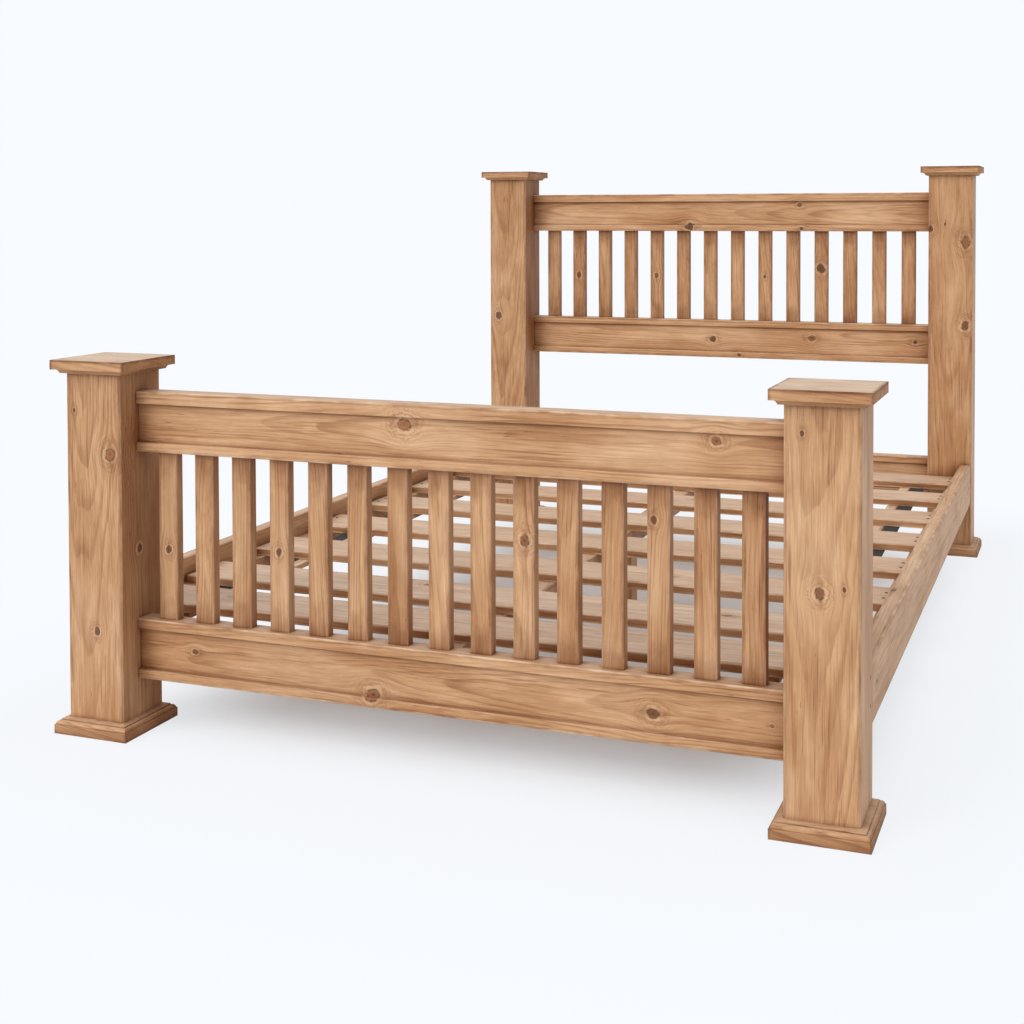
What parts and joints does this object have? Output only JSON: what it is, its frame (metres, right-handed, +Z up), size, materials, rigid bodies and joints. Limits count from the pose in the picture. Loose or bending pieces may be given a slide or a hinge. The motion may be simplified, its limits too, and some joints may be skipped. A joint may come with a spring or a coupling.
{
  "type": "spindle bed",
  "caption": "Pine bed frame with square capped posts, moulded rails and flat spindles at foot and head, side rails on hooks, and wide slats on bearers and a centre rail.",
  "frame": {"origin": "on the floor under the middle of the bed", "axes": "+X towards the right-hand side seen from the foot, +Y from the foot towards the head, +Z up"},
  "size_m": [1.634, 2.334, 1.188],
  "materials": {
    "post_pine": "waxed pine",
    "moulding_pine": "waxed pine, end grain on the cap edges",
    "rail_pine": "waxed pine",
    "spindle_pine": "waxed pine",
    "slat_pine": "waxed pine, planed",
    "bearer_pine": "plain sawn pine",
    "beech": "turned beech dowel",
    "sheet_steel": "zinc plated sheet",
    "pin_steel": "drawn steel",
    "webbing": "woven black tape"
  },
  "bodies": {
    "root": {"bearer_left": "bearer_pine", "bearer_right": "bearer_pine", "cap_dowels": "beech", "cap_foot_left": "moulding_pine", "cap_foot_right": "moulding_pine", "cap_head_left": "moulding_pine", "cap_head_right": "moulding_pine", "centre_leg": "bearer_pine", "centre_rail": "bearer_pine", "centre_rail_shoes": "sheet_steel", "foot_bottom_rail": "rail_pine", "foot_spindle_01": "spindle_pine", "foot_spindle_02": "spindle_pine", "foot_spindle_03": "spindle_pine", "foot_spindle_04": "spindle_pine", "foot_spindle_05": "spindle_pine", "foot_spindle_06": "spindle_pine", "foot_spindle_07": "spindle_pine", "foot_spindle_08": "spindle_pine", "foot_spindle_09": "spindle_pine", "foot_spindle_10": "spindle_pine", "foot_spindle_11": "spindle_pine", "foot_spindle_12": "spindle_pine", "foot_spindle_13": "spindle_pine", "foot_spindle_14": "spindle_pine", "foot_spindle_15": "spindle_pine", "foot_top_rail": "rail_pine", "head_lower_rail": "rail_pine", "head_middle_rail": "rail_pine", "head_spindles": "spindle_pine", "head_top_rail": "rail_pine", "hook_pins": "pin_steel", "hook_plates": "sheet_steel", "plate_pins": "pin_steel", "plinth_foot_left": "moulding_pine", "plinth_foot_right": "moulding_pine", "plinth_head_left": "moulding_pine", "plinth_head_right": "moulding_pine", "post_foot_left": "post_pine", "post_foot_right": "post_pine", "post_head_left": "post_pine", "post_head_right": "post_pine", "side_rail_left": "rail_pine", "side_rail_right": "rail_pine", "slat_1": "slat_pine", "slat_2": "slat_pine", "slat_3": "slat_pine", "slat_4": "slat_pine", "slat_5": "slat_pine", "slat_6": "slat_pine", "slat_7": "slat_pine", "slat_8": "slat_pine", "slat_battens": "bearer_pine", "slat_tapes": "webbing"}
  },
  "joints": []
}
